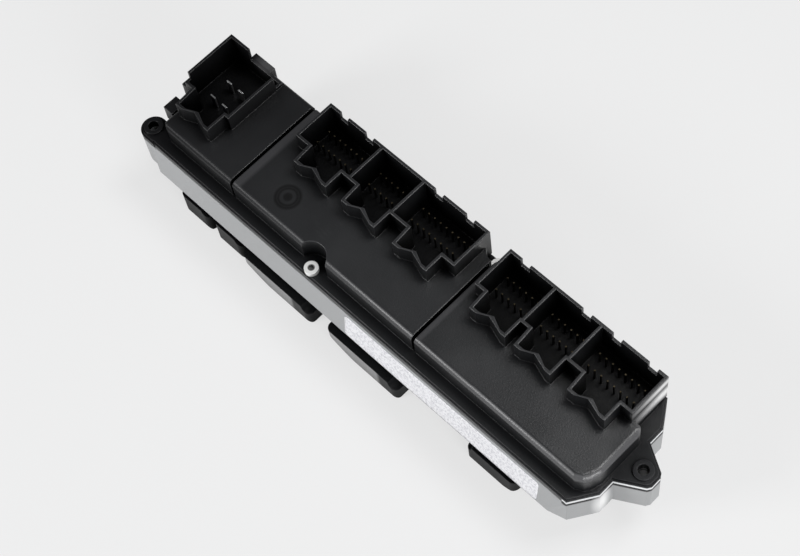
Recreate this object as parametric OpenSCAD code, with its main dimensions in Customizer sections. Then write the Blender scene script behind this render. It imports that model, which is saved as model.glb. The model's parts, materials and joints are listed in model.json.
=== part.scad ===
// Power window switch bank of a front door, lying face down on its levers.
// X runs along the bank, Y across it and Z up, away from the levers.
// The origin is under the middle of the case, on the surface that the levers rest on.
// All sizes are in millimetres.

/* [Case] */
// Width of the case across Y, at the rear cover's flange
case_w = 56.4; // [54:0.2:62]
// Distance from the origin to the left end of the case
end_left = 122.6; // [120:0.2:128]
// Length of the flange beyond the last socket at the right end
right_margin = 7.8; // [5.8:0.2:9]
// Length of the sloping corners at the right end, along X
corner_x = 7; // [4:0.5:9]
// Length of the sloping corners at the right end, along Y
corner_y = 10.6; // [6:0.2:12]
// Height of the case walls, from the bezel rim to the top of the flange
case_depth = 20; // [18:0.5:26]
// How far the near and far walls lean outwards over their height
flare = 2.2; // [1:0.2:4]
// Height of the sloping border between the bezel rim and the bezel face
face_drop = 4; // [3:0.5:5]
// Thickness of the front housing's walls
wall = 2.2; // [1.8:0.1:2.8]
// Height of the shadow gap under the flange
parting = 0.8; // [0.4:0.1:1.2]

/* [Ears] */
// Distance from the left end of the case to the left mounting hole
ear_left_out = 2.4; // [1.4:0.2:4]
// Y of the left mounting hole, towards the near edge
ear_left_y = 22.8; // [20:0.2:23]
// Radius of the left ear
ear_left_r = 5.7; // [5:0.1:6.5]
// Distance from the right end of the case to the right mounting hole
ear_right_out = 5.8; // [4.8:0.2:8]
// Distance from the right mounting hole to the ear's end
ear_right_r = 6.2; // [5.4:0.1:7.4]
// Width of the right ear's end
ear_end_w = 6.8; // [5:0.2:9]
// Angle of the right ear's flanks
ear_slope = 30; // [24:1:34]
// Radius of the mounting holes
ear_hole_r = 2.3; // [1.8:0.1:2.8]

/* [Rear cover] */
// Thickness of the flange
flange_t = 3.2; // [2.4:0.1:3.4]
// Height and width of the step around the flange's upper edge
flange_step = 0.8; // [0.4:0.1:1.2]
// Height of the three raised blocks over the flange
block_h = 10.8; // [9:0.2:13]
// Distance from the near edge of the flange to the blocks
block_inset = 5.6; // [5.2:0.2:7]
// Distance from the far edge of the flange to the blocks
block_inset_far = 2.8; // [2:0.2:4]
// Distance from the left end of the flange to the blocks
block_inset_left = 5.1; // [3:0.1:6]
// Distance from the right end of the flange to the blocks
block_inset_right = 2.2; // [1.6:0.2:3.4]
// Radius of the blocks' upper edges
block_r = 2.4; // [1.5:0.1:3]
// Radius of the blocks' upright corners at the left and far ends
block_corner_r = 4; // [3:0.5:5]
// Length of the sloping near corner of the right block, along X
block_cut = 3.8; // [2:0.2:5]
// Width of the grooves between the blocks
groove_w = 1.5; // [1:0.1:2.5]
// X of the groove between the left and middle blocks
groove_a_x = -75.2; // [-77:0.1:-74]
// X of the groove between the middle and right blocks
groove_b_x = 27.5; // [25.5:0.1:28.5]
// How far the locating tab stands out at the left end
tab_out = 3.4; // [2:0.2:4]
// Width of the locating tab
tab_w = 7; // [5:0.5:9]
// Height of the locating tab over the flange
tab_h = 5.4; // [3:0.2:7]
// Thickness of the rear cover's walls
cover_wall = 2; // [1.6:0.1:2.4]

/* [Sockets] */
// Height of the socket rims over the blocks
rim_h = 8.5; // [7:0.5:10]
// Thickness of the socket walls
shroud_t = 1.2; // [1:0.1:1.6]
// Depth of the sockets below their rims
socket_depth = 16; // [14.5:0.5:17]
// Thickness of the socket floors
floor_t = 1.5; // [1.2:0.1:2]
// Width of the key step on the small sockets
key_w = 17.8; // [16:0.2:18.2]
// Depth of the key step towards the near side
key_out = 8.8; // [7:0.2:9.4]
// Inward fold in the middle of the key step
key_fold = 2.4; // [1.2:0.2:3]
// Depth of the small sockets across Y, without the key step
socket_y = 18.8; // [17.6:0.2:19.2]
// Width of the narrow sockets
narrow_w = 23.3; // [22.8:0.1:23.8]
// Width of the first wide socket in the middle row
wide_a_w = 29.7; // [28.6:0.1:30.4]
// Width of the last wide socket in the middle row
wide_b_w = 34.1; // [32:0.1:34.6]
// Width of the last wide socket in the right row
wide_c_w = 31.3; // [29.5:0.1:32]
// Width of the large socket at the left end
large_w = 28.2; // [26:0.2:30]
// Depth of the large socket across Y, without its key step
large_y = 27.8; // [25:0.2:29]
// Depth of the large socket's key step
large_key_out = 9.6; // [7:0.2:10.4]
// Height of the notch in the large socket's far wall
large_notch_h = 7; // [4:0.5:8]
// Height of the notches in the far walls
notch_h = 4.2; // [2:0.2:6]

/* [Terminals] */
// Thickness of a small terminal
pin_t = 0.64; // [0.5:0.02:0.8]
// Distance between the small terminals along X
pin_pitch = 3.2; // [2.8:0.1:3.4]
// Distance between the two rows of small terminals
pin_row = 6.5; // [5:0.1:7]
// Height of the terminals over the socket floor
pin_h = 7; // [6:0.5:8.5]
// Width of a power blade in the large socket
blade_w = 2.8; // [2:0.1:3.2]
// Distance between the power blades along X
blade_pitch = 7; // [6:0.1:7.4]
// Distance between the two rows of power blades
blade_row = 9.2; // [8:0.1:10]

/* [Levers] */
// Distance from the bezel face to the tips of the levers
lever_out = 16; // [15:0.5:20]
// Length of a window lever along X
lever_len = 40; // [36:0.5:41]
// Width of a window lever across Y
lever_w = 20; // [18:0.5:21]
// How far the window levers stand out past the flange's edge
lever_over = 4.1; // [3:0.1:5]
// Length of a mirror toggle along X
toggle_len = 17.4; // [15:0.2:18]
// Length of a lock rocker along X
rocker_len = 26.8; // [24:0.2:28]
// Width of the toggles and lock rockers across Y
toggle_w = 17; // [15:0.5:18]
// How far the toggles and lock rockers stand out past the flange's edge
toggle_over = 2; // [1:0.1:3]
// Width of an end button along X
button_len = 9; // [7:0.2:9.4]
// Length of an end button across Y
button_w = 13; // [10:0.5:14]
// Radius of the pivots
pivot_r = 1.5; // [1.2:0.1:1.8]
// Distance from the bezel face to the pivots, inside the case
pivot_up = 8; // [7.6:0.1:8.8]
// Height of an end button's cap
button_out = 9; // [6:0.5:11]
// Travel of an end button
button_travel = 1.2; // [0.8:0.1:1.4]

/* [Inside] */
// Thickness of the circuit board
board_t = 1.6; // [1.2:0.1:2]
// Thickness of the rubber mat's sheet
mat_t = 1.2; // [0.8:0.1:1.6]
// Height of the rubber domes
dome_h = 2; // [1.5:0.1:2.2]
// Radius of the rubber domes
dome_r = 3; // [2.4:0.1:3.2]
// Thickness of the carrier plate
carrier_t = 1.8; // [1.4:0.1:2.2]
// Radius of the carrier's pillars
pillar_r = 2.6; // [2.2:0.1:3]

// Height of the chips on the board
chip_h = 1.6; // [1:0.1:2]
// Radius of the capacitors on the board
capacitor_r = 3.1; // [2.4:0.1:3.6]
// Height of the capacitors on the board
capacitor_h = 4.2; // [3:0.2:6]
// Length of a lamp
lamp_len = 3.2; // [2.4:0.1:4]
// Width of a lamp and of the light pipe
lamp_w = 2.8; // [2:0.1:3.4]
// Height of a lamp
lamp_h = 1.4; // [0.8:0.1:1.8]
// Radius of the light pipe's posts
pipe_r = 2.5; // [2:0.1:2.8]
// Height of the light pipe's bar
pipe_h = 3; // [2:0.1:3.6]

/* [Fits] */
// Gap around each piece that slides or turns in a slot
slide_gap = 0.3; // [0.2:0.05:0.4]
// Radial gap between a pivot and its bearing
pivot_gap = 0.05; // [0.02:0.01:0.08]
// Gap around pieces that only lie beside each other
loose_gap = 0.4; // [0.2:0.05:0.6]

/* [Screws] */
// Radius of a cover screw's head
screw_head_r = 3; // [2.5:0.1:3.2]
// Height of a cover screw's head
screw_head_h = 2.2; // [1.8:0.1:2.6]
// Radius of a cover screw's shank
screw_r = 1.5; // [1.3:0.1:1.7]
// X of the near cover screw
screw_near_x = -27.3; // [-32:0.5:-22]
// X of the far cover screw
screw_far_x = 26.6; // [26.4:0.1:27.4]

/* [Hidden] */
$fn = 48;
eps = 0.01;

// Room between the circuit board and the flange above it
board_gap = 1.4;

// Heights, counted up from the surface that the levers rest on
face_z = lever_out;
rim_z = face_z + face_drop;
flange_top = rim_z + case_depth;
flange_z = flange_top - flange_t;
block_top = flange_top + block_h;
shroud_top = block_top + rim_h;
socket_floor = shroud_top - socket_depth;
inner_z = face_z + wall;
carrier_top = inner_z + carrier_t;
pivot_z = face_z + pivot_up;
board_top = flange_z - board_gap;
board_z = board_top - board_t;
mat_z = board_z - mat_t;
dome_z = mat_z - dome_h;

half_w = case_w / 2;
cavity_half = half_w - wall - 1;

// Places of the sockets: the right row's left wall and the middle row's left wall
shroud_far = half_w - 0.4;
mid_row_x = groove_a_x + 8.7;
end_row_x = groove_b_x + 5.2;
large_far = half_w - 5;
large_x = -end_left + 0.8;
block_near = -half_w + block_inset;
block_far = half_w - block_inset_far;
tab_y = -half_w + 13.2;
ring_w = 1.8;
ring_h = 1;
lug_w = 11.4;
lug_out = 3.8;
lug_top = block_top + 1.2;
screw_near_y = -(half_w - screw_head_r - 0.3);
screw_far_y = half_w - screw_head_r + 0.2;
recess_r = screw_head_r + 4;
boss_r = 3.2;
boss_z = rim_z + 3;
drive_r = 1.3;
drive_h = 1.4;
recess_far_r = half_w - screw_far_y + screw_head_r + loose_gap;

// Each socket: left wall, right wall, start of the key step, notches in the far wall
mid_a = mid_row_x;
mid_b = mid_a + wide_a_w;
mid_c = mid_b + narrow_w;
mid_d = mid_c + wide_b_w;
end_a = end_row_x;
end_b = end_a + narrow_w;
end_c = end_b + narrow_w;
end_d = end_c + wide_c_w;
end_right = end_d + right_margin;
block_left = -end_left + block_inset_left;
block_right = end_right - block_inset_right;
nose_y = shroud_far - shroud_t / 2 - socket_y + 1.2;
face_in = 1.5;
ear_left_x = end_left + ear_left_out;
ear_right_x = end_right + ear_right_out;
SOCKETS = [
    [mid_a, mid_b, mid_a + 7.4, [5.6, 19.8]],
    [mid_b, mid_c, mid_b + 4.8, []],
    [mid_c, mid_d, mid_c + 9.8, [5.6, 22.4]],
    [end_a, end_b, end_a + 4.8, [5.6]],
    [end_b, end_c, end_b + 4.4, [13.4]],
    [end_c, end_d, end_c + 7.8, [5.2, 22.8]]
];

// Stems of the levers, in slots that let them swing, and the bearing posts beside them
stem_len = 9;
stem_wide = 8.4;
swing = 1.4;
post_t = 2.4;
post_gap = stem_wide / 2 + slide_gap;

// Places along X and Y
lever_left_x = -47.6;
lever_right_x = 2.8;
toggle_left_x = -99.6;
toggle_right_x = -78.9;
rocker_x = end_right - 45.6;
button_x = -end_left + 7.6;
lever_y = half_w + lever_over - lever_w / 2;
toggle_y = half_w + toggle_over - toggle_w / 2;
button_y = half_w - 1.2 - button_w / 2;
button_stem_w = button_w - 4;
pin_room = 1.8;
collar_out = 0.8;
button_stem_y = cavity_half - loose_gap - collar_out - button_stem_w / 2;
stem_y = cavity_half - loose_gap - post_t - slide_gap - stem_wide / 2;

pillar_xs = [-end_left + 32.6, screw_near_x - 2.7, groove_b_x - 0.5, end_right - 22.4];
pillar_y = pillar_r + 2.2;
board_screw_r = 0.95;
board_screw_len = 6;
board_screw_head_r = 2;
board_screw_head_h = 1.4;

// Each chip: middle along X, length, width
chip_y = block_near + cover_wall + 7.6;
capacitor_out = 11;
CHIPS = [
    [toggle_left_x + 8.6, 14, 10], [lever_left_x, 9, 9], [groove_b_x + 14.5, 12, 12]
];

// Outline of the flange without the ears, grown outwards by g on every side
function grown_points(g) = [
    [-end_left - g, -half_w - g], [end_right - corner_x + g * 0.55, -half_w - g],
    [end_right + g, -half_w + corner_y - g * 0.3], [end_right + g, half_w - corner_y + g * 0.3],
    [end_right - corner_x + g * 0.55, half_w + g], [-end_left - g, half_w + g]
];

// Outline of the right ear, grown outwards by g: it narrows to a blunt end with two cut corners
ear_cut = 1;
function ear_half(x, g) =
    ear_end_w / 2 + (ear_right_x + ear_right_r - x) * tan(ear_slope) + g / cos(ear_slope);
function ear_points(g) =
    let (x0 = end_right - 3, x1 = ear_right_x + ear_right_r + g, x2 = x1 - ear_cut)
    [
        [x0, -ear_half(x0, g)], [x2, -ear_half(x2, g)], [x1, -ear_half(x1, g) + ear_cut],
        [x1, ear_half(x1, g) - ear_cut], [x2, ear_half(x2, g)], [x0, ear_half(x0, g)]
    ];

// Outline of the bezel rim: its long sides stand out by the flare, and its ends don't
function rim_points() = [
    [-end_left, -half_w], [-end_left + 4, -half_w - flare],
    [end_right - corner_x - 8, -half_w - flare], [end_right - corner_x, -half_w],
    [end_right, -half_w + corner_y], [end_right, half_w - corner_y],
    [end_right - corner_x, half_w], [end_right - corner_x - 8, half_w + flare],
    [-end_left + 4, half_w + flare], [-end_left, half_w]
];

// Outline of one keyed socket, drawn g inside the middle of its walls
function socket_points(xl, xr, key_x, y_far, y_main, key_width, out, g) =
    let (y_key = y_main - out, kl = key_x + g, kr = key_x + key_width - g)
    [
        [xl + g, y_far - g], [xl + g, y_main + g], [kl, y_main + g],
        [kl + 0.6, y_key + g], [kl + key_width * 0.22, y_key + g],
        [kl + key_width * 0.5, y_key + g + key_fold],
        [kr - 2.6, y_key + g], [kr, y_key + g], [kr, y_main + g],
        [xr - g, y_main + g], [xr - g, y_far - g]
    ];

module small_socket_outline(s, g) {
    polygon(socket_points(s[0], s[1], s[2], shroud_far - shroud_t / 2,
        shroud_far - shroud_t / 2 - socket_y, key_w, key_out, g));
}

module large_socket_outline(g) {
    polygon(socket_points(large_x, large_x + large_w, large_x + 7.2, large_far,
        large_far - large_y, large_w - 9.4, large_key_out, g));
}

// A block with rounded upper edges and rounded upright corners
module soft_block(x0, x1, y0, y1, z0, z1, r, rc) {
    intersection() {
        translate([0, 0, z0]) linear_extrude(z1 - z0) rounded_square(x0, x1, y0, y1, rc);
        translate([0, y1, 0]) rotate([90, 0, 0]) linear_extrude(y1 - y0)
            arched_square(x0, x1, z0, z1, r);
        translate([x0, 0, 0]) rotate([90, 0, 90]) linear_extrude(x1 - x0)
            arched_square(y0, y1, z0, z1, r);
    }
}

// A rectangle with four round corners
module rounded_square(x0, x1, y0, y1, r) {
    translate([x0 + r, y0]) square([x1 - x0 - 2 * r, y1 - y0]);
    translate([x0, y0 + r]) square([x1 - x0, y1 - y0 - 2 * r]);
    for (x = [x0 + r, x1 - r], y = [y0 + r, y1 - r]) translate([x, y]) circle(r);
}

// A rectangle with two round corners at its upper edge
module arched_square(a0, a1, z0, z1, r) {
    translate([a0, z0]) square([a1 - a0, z1 - z0 - r]);
    translate([a0 + r, z0]) square([a1 - a0 - 2 * r, z1 - z0]);
    for (a = [a0 + r, a1 - r]) translate([a, z1 - r]) circle(r);
}

// Outline of the flange with its ears, grown outwards by g
module flange_outline(g) {
    polygon(grown_points(g));
    polygon(ear_points(g));
    translate([-ear_left_x, -ear_left_y]) circle(ear_left_r + g);
    translate([-ear_left_x, -ear_left_y - ear_left_r - g])
        square([ear_left_r + g, 2 * (ear_left_r + g)]);
}

module ear_bores(z0, z1) {
    for (p = [[-ear_left_x, -ear_left_y], [ear_right_x, 0]])
        translate([p[0], p[1], z0]) cylinder(r = ear_hole_r, h = z1 - z0);
}

// Cuts that slope and soften the near corner of the right block: a point on each, its angle and
// the radius of its upper edge, which differs from its neighbours'
cut_turn = atan2(corner_y, corner_x);
cut_end_y = block_near + block_cut * tan(cut_turn);
cut_soft = 2.2;
CORNER_CUTS = [
    [block_right - block_cut, block_near, cut_turn, block_r + 0.8],
    [block_right - block_cut - cut_soft, block_near, cut_turn / 2, block_r + 0.4],
    [block_right, cut_end_y + cut_soft, (90 + cut_turn) / 2, block_r + 0.4]
];

// Everything on one side of a line through a point, with a rounded upper edge along the line
module soft_side(place) {
    reach = end_left + end_right;
    translate([place[0], place[1], 0]) rotate(place[2]) translate([-reach, 0, 0])
        rotate([90, 0, 90]) linear_extrude(2 * reach)
        arched_square(0, 2 * reach, flange_top - eps, block_top, place[3]);
}

// The three raised blocks of the rear cover: one long form that two grooves part. Its right end
// stops short of the last socket
module cover_blocks() {
    z0 = flange_top - eps;
    difference() {
        intersection() {
            union() {
                soft_block(block_left, end_d + shroud_t / 2, block_near, block_far, z0,
                    block_top, block_r, block_corner_r);
                soft_block(end_b, block_right, block_near - block_corner_r, nose_y, z0,
                    block_top, block_r, block_corner_r);
            }
            soft_side([0, block_near, 0, block_r]);
            soft_side(CORNER_CUTS[0]);
            soft_side(CORNER_CUTS[1]);
            soft_side(CORNER_CUTS[2]);
        }
        for (x = [groove_a_x, groove_b_x])
            translate([x - groove_w / 2, -half_w, flange_top])
                cube([groove_w, case_w, block_h + 1]);
    }
}

// The hollow under one block
module block_hollow(x0, x1, y0, y1) {
    translate([x0, y0, flange_z - eps])
        cube([x1 - x0, y1 - y0, block_top - cover_wall - flange_z]);
}

module block_hollows() {
    nose_x = block_right - corner_x - cover_wall;
    y0 = block_near + cover_wall;
    y1 = block_far - cover_wall;
    block_hollow(block_left + cover_wall, groove_a_x - groove_w / 2 - cover_wall, y0, y1);
    difference() {
        block_hollow(groove_a_x + groove_w / 2 + cover_wall,
            groove_b_x - groove_w / 2 - cover_wall, y0, y1);
        translate([screw_near_x, screw_near_y + 0.3, flange_z - 1])
            cylinder(r = recess_r + cover_wall, h = block_h + flange_t + 2);
        far_recess(cover_wall);
    }
    difference() {
        union() {
            block_hollow(groove_b_x + groove_w / 2 + cover_wall, nose_x, y0, y1);
            block_hollow(nose_x - 1, block_right - cover_wall, cut_end_y + 2 * cover_wall,
                nose_y - cover_wall);
        }
        far_recess(cover_wall);
    }
}

// Room for the far screw's head, grown outwards by g
module far_recess(g) {
    translate([screw_far_x, half_w, flange_z - 1 + (g > 0 ? 0 : flange_t + 1)])
        cylinder(r = recess_far_r + g, h = block_h + flange_t + 2);
}

module socket_wells(g, z0, z1) {
    for (s = SOCKETS) translate([0, 0, z0]) linear_extrude(z1 - z0) small_socket_outline(s, g);
    translate([0, 0, z0]) linear_extrude(z1 - z0) large_socket_outline(g);
}

module socket_notches() {
    notch_w = 4.6;
    for (s = SOCKETS, n = s[3])
        translate([s[0] + n, shroud_far - shroud_t - 1, shroud_top - notch_h])
            cube([notch_w, shroud_t + 2, notch_h + 1]);
    translate([large_x + 10.5, large_far - 3.2, shroud_top - large_notch_h])
        cube([large_w, 4.4, large_notch_h + 1]);
    translate([large_x - 2 * shroud_t, large_far - large_y - 2, shroud_top - notch_h])
        cube([4 * shroud_t, 5.5, notch_h + 1]);
}

module rear_cover() {
    color("#2c2d2f") difference() {
        union() {
            translate([0, 0, flange_z]) linear_extrude(flange_t - flange_step) flange_outline(0);
            translate([0, 0, flange_z]) linear_extrude(flange_t) flange_outline(-flange_step);
            difference() {
                cover_blocks();
                translate([screw_near_x, screw_near_y + 0.3, flange_top])
                    cylinder(r = recess_r, h = block_h + 1);
                far_recess(0);
            }
            socket_wells(-shroud_t / 2, socket_floor - floor_t, shroud_top);
            // Locating tab on the left end
            translate([-end_left - tab_out, tab_y, flange_z])
                cube([tab_out + 2, tab_w, flange_t + tab_h]);
            // Latch lug behind the large socket
            translate([large_x + 9.6, large_far - 0.2, flange_z])
                cube([lug_w, lug_out, lug_top - flange_z]);
            // Rings around the two mounting holes
            translate([ear_right_x, 0, flange_top - eps])
                cylinder(r = ear_hole_r + ring_w, h = ring_h);
            translate([-ear_left_x, -ear_left_y, flange_top - eps])
                cylinder(r = ear_hole_r + ring_w, h = ring_h);
        }
        difference() {
            block_hollows();
            socket_wells(-shroud_t / 2, socket_floor - floor_t, shroud_top);
        }
        socket_wells(shroud_t / 2, socket_floor, shroud_top + 1);
        socket_notches();
        ear_bores(flange_z - 1, flange_top + 3);
        for (p = [[screw_near_x, screw_near_y], [screw_far_x, screw_far_y]])
            translate([p[0], p[1], flange_z - 1]) cylinder(r = screw_r + 0.2, h = flange_t + 2);
    }
}

// The outside of the front housing: leaning walls, sloping border and flat face
module housing_outside() {
    hull() {
        translate([0, 0, flange_z - 1]) linear_extrude(1) polygon(grown_points(0));
        translate([0, 0, rim_z]) linear_extrude(eps) polygon(rim_points());
    }
    hull() {
        translate([0, 0, rim_z]) linear_extrude(eps) polygon(rim_points());
        translate([0, 0, face_z]) linear_extrude(eps) polygon(grown_points(-face_in));
    }
}

module housing_hollow() {
    hull() {
        translate([0, 0, flange_z]) linear_extrude(1) polygon(grown_points(-wall - 1));
        translate([0, 0, inner_z]) linear_extrude(eps) polygon(grown_points(-wall - 1));
    }
}

module front_housing() {
    color("#b4b6b8") difference() {
        union() {
            difference() {
                housing_outside();
                housing_hollow();
            }
            // Ear towers under the two mounting holes
            translate([0, 0, rim_z]) linear_extrude(flange_z - rim_z) intersection() {
                polygon(ear_points(0));
                translate([end_right - wall, -half_w]) square([20, case_w]);
            }
            translate([-ear_left_x, -ear_left_y, rim_z])
                cylinder(r = ear_left_r, h = flange_z - rim_z);
            translate([-ear_left_x, -ear_left_y - ear_left_r, rim_z])
                cube([ear_left_r, 2 * ear_left_r, flange_z - rim_z]);
            // Bosses for the two cover screws
            for (p = [[screw_near_x, screw_near_y], [screw_far_x, screw_far_y]])
                translate([p[0], p[1], boss_z]) cylinder(r = boss_r, h = flange_z - boss_z);
        }
        // Shadow gap under the flange, all round
        translate([0, 0, flange_z - parting]) linear_extrude(parting + 1) difference() {
            polygon(grown_points(12));
            polygon(grown_points(-1));
            polygon(ear_points(-1));
            translate([-ear_left_x, -ear_left_y]) circle(ear_left_r - 1);
        }
        ear_bores(rim_z - 1, flange_z + 1);
        for (p = [[screw_near_x, screw_near_y], [screw_far_x, screw_far_y]])
            translate([p[0], p[1], boss_z + 3]) cylinder(r = screw_r - 0.05, h = case_depth);
        knob_slots(face_z - 1, inner_z + 1);
        for (x = [lever_left_x, lever_right_x, rocker_x])
            translate([x, 0, face_z - 1]) cylinder(r = pipe_r + slide_gap, h = wall + 2);
    }
}

module knob_slots(z0, z1) {
    for (side = [-1, 1]) {
        for (x = [lever_left_x, lever_right_x, toggle_left_x, toggle_right_x, rocker_x])
            translate([x - stem_len / 2 - swing, side * stem_y - stem_wide / 2 - slide_gap, z0])
                cube([stem_len + 2 * swing, stem_wide + 2 * slide_gap, z1 - z0]);
        translate([button_x - button_len / 2 + 1 - slide_gap,
            side * button_stem_y - button_stem_w / 2 - slide_gap, z0])
            cube([button_len - 2 + 2 * slide_gap, button_stem_w + 2 * slide_gap, z1 - z0]);
    }
}

module carrier_frame() {
    post_top = pivot_z + pivot_r + 1.6;
    color("#3a3b3e") difference() {
        union() {
            translate([0, 0, inner_z]) linear_extrude(carrier_t)
                polygon(grown_points(-wall - 1 - loose_gap));
            for (side = [-1, 1], x = [lever_left_x, lever_right_x, toggle_left_x,
                    toggle_right_x, rocker_x], s = [-1, 1])
                translate([x - 3.2, side * stem_y + s * (post_gap + post_t / 2) - post_t / 2,
                    inner_z])
                    cube([6.4, post_t, post_top - inner_z]);
            for (x = pillar_xs)
                translate([x, pillar_y, inner_z]) cylinder(r = pillar_r, h = board_z - inner_z);
        }
        knob_slots(inner_z - 1, carrier_top + 1);
        for (side = [-1, 1], x = [lever_left_x, lever_right_x, toggle_left_x,
                toggle_right_x, rocker_x])
            translate([x, side * stem_y + post_gap + post_t + 1, pivot_z]) rotate([90, 0, 0])
                cylinder(r = pivot_r + pivot_gap, h = 2 * (post_gap + post_t + 1));
        for (x = [lever_left_x, lever_right_x, rocker_x])
            translate([x, 0, inner_z - 1]) cylinder(r = pipe_r + slide_gap, h = carrier_t + 2);
        for (x = pillar_xs)
            translate([x, pillar_y, board_z - board_screw_len - 2])
                cylinder(r = board_screw_r, h = board_screw_len + 3);
        cover_screw_clearance();
    }
}

// Room for the cover screws' bosses in the pieces inside the case
module cover_screw_clearance() {
    for (p = [[screw_near_x, screw_near_y], [screw_far_x, screw_far_y]])
        translate([p[0], p[1], inner_z - 1]) cylinder(r = boss_r + loose_gap, h = case_depth);
}

module board_outline() {
    polygon(grown_points(-wall - 1 - loose_gap));
}

module main_board() {
    color("#2f6b45") difference() {
        translate([0, 0, board_z]) linear_extrude(board_t) board_outline();
        cover_screw_clearance();
        for (x = pillar_xs)
            translate([x, pillar_y, board_z - 1])
                cylinder(r = board_screw_r + 0.15, h = board_t + 2);
        for (i = [0:5]) for (p = pin_places(SOCKETS[i]))
            translate([p[0], p[1], board_top - board_t / 2])
                cube([pin_t + 0.3, pin_t + 0.3, board_t + 2], center = true);
        for (p = blade_places())
            translate([p[0], p[1], board_top - board_t / 2])
                cube([blade_w + 0.3, pin_t + 0.3, board_t + 2], center = true);
    }
}

// Domes stand under each side of each stem, and over each end button
function dome_places() = concat(
    [for (side = [-1, 1], x = [lever_left_x, lever_right_x, toggle_left_x,
        toggle_right_x, rocker_x], s = [-1, 1]) [x + s * 5.2, side * stem_y]],
    [for (side = [-1, 1]) [button_x, side * button_stem_y]]);

module dome_mat() {
    color("#8a8d90") difference() {
        union() {
            translate([-end_left + wall + 3, -cavity_half + 2, mat_z])
                cube([end_left + end_right - 2 * wall - 12, 2 * cavity_half - 4, mat_t]);
            for (p = dome_places())
                translate([p[0], p[1], dome_z]) cylinder(r1 = dome_r - 0.8, r2 = dome_r,
                    h = dome_h + eps);
        }
        for (p = dome_places())
            translate([p[0], p[1], mat_z - 0.6]) cylinder(r = dome_r - 1, h = mat_t + 1);
        for (x = pillar_xs)
            translate([x, pillar_y, mat_z - 1]) cylinder(r = pillar_r + loose_gap, h = mat_t + 2);
        for (x = [lever_left_x, lever_right_x, rocker_x])
            translate([x, 0, mat_z - 1]) cylinder(r = 3.4, h = mat_t + 2);
        for (i = [0:5]) for (p = pin_places(SOCKETS[i]))
            translate([p[0], p[1], mat_z + mat_t / 2])
                cube([pin_room, pin_room, mat_t + 2], center = true);
        for (p = blade_places())
            translate([p[0], p[1], mat_z + mat_t / 2])
                cube([blade_w + pin_room, pin_room, mat_t + 2], center = true);
        cover_screw_clearance();
    }
}

// Conductive pills inside the domes
module contact_pills() {
    color("#202224") for (p = dome_places())
        translate([p[0], p[1], mat_z - 0.6]) cylinder(r = dome_r - 1.6, h = 1);
}

module light_pipe() {
    color("#dfe6ea") {
        translate([lever_left_x, -lamp_w / 2, carrier_top + loose_gap])
            cube([rocker_x - lever_left_x, lamp_w, pipe_h]);
        for (x = [lever_left_x, lever_right_x, rocker_x])
            translate([x, 0, face_z + loose_gap])
                cylinder(r = pipe_r, h = board_z - lamp_h - 0.6 - face_z - loose_gap);
    }
}

module board_chips() {
    color("#1d1e20") {
        for (c = CHIPS)
            translate([c[0] - c[1] / 2, chip_y - c[2] / 2, board_top]) cube([c[1], c[2], chip_h]);
        for (x = [rocker_x - capacitor_out, rocker_x + capacitor_out])
            translate([x, chip_y, board_top]) cylinder(r = capacitor_r, h = capacitor_h);
    }
}

module board_lamps() {
    color("#f2f0e4") for (x = [lever_left_x, lever_right_x, rocker_x])
        translate([x - lamp_len / 2, -lamp_w / 2, board_z - lamp_h])
            cube([lamp_len, lamp_w, lamp_h]);
}

module board_screws() {
    color("#c9cbcd") for (x = pillar_xs) {
        translate([x, pillar_y, board_top])
            cylinder(r = board_screw_head_r, h = board_screw_head_h);
        translate([x, pillar_y, board_z - board_screw_len])
            cylinder(r = board_screw_r, h = board_t + board_screw_len + eps);
    }
}

module cover_screws() {
    color("#d9dadb")
        for (p = [[screw_near_x, screw_near_y], [screw_far_x, screw_far_y]])
            translate([p[0], p[1], 0]) difference() {
                union() {
                    translate([0, 0, flange_top]) cylinder(r = screw_head_r, h = screw_head_h);
                    translate([0, 0, boss_z + 4])
                        cylinder(r = screw_r, h = flange_top - boss_z - 4 + eps);
                }
                translate([0, 0, flange_top + screw_head_h - drive_h])
                    cylinder(r = drive_r, h = screw_head_h, $fn = 6);
            }
}

// Two rows of small terminals stand in the middle of each small socket
function pin_count(s) = floor((s[1] - s[0] - 7) / pin_pitch) + 1;
function pin_places(s) = [
    for (row = [-0.5, 0.5], i = [0:pin_count(s) - 1])
        [(s[0] + s[1]) / 2 + (i - (pin_count(s) - 1) / 2) * pin_pitch,
            shroud_far - shroud_t / 2 - socket_y / 2 + row * pin_row]
];

// Two rows of power blades stand in the large socket
function blade_places() = [
    for (row = [-0.5, 0.5], i = [-0.5, 0.5])
        [large_x + large_w / 2 + i * blade_pitch, large_far - large_y / 2 - 3.9 + row * blade_row]
];

module small_pins(s) {
    z0 = board_z - 1.2;
    color("#c8a24a") for (p = pin_places(s)) translate([p[0], p[1], z0]) {
        translate([-pin_t / 2, -pin_t / 2, 0]) cube([pin_t, pin_t, socket_floor + pin_h - z0]);
    }
}

module pins_large() {
    z0 = board_z - 1.2;
    color("#c7c9cb") for (p = blade_places()) translate([p[0], p[1], z0])
        translate([-blade_w / 2, -pin_t / 2, 0])
            cube([blade_w, pin_t, socket_floor + pin_h - z0]);
}

module pins_mid_left() { small_pins(SOCKETS[0]); }
module pins_mid_centre() { small_pins(SOCKETS[1]); }
module pins_mid_right() { small_pins(SOCKETS[2]); }
module pins_end_left() { small_pins(SOCKETS[3]); }
module pins_end_centre() { small_pins(SOCKETS[4]); }
module pins_end_right() { small_pins(SOCKETS[5]); }

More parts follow.
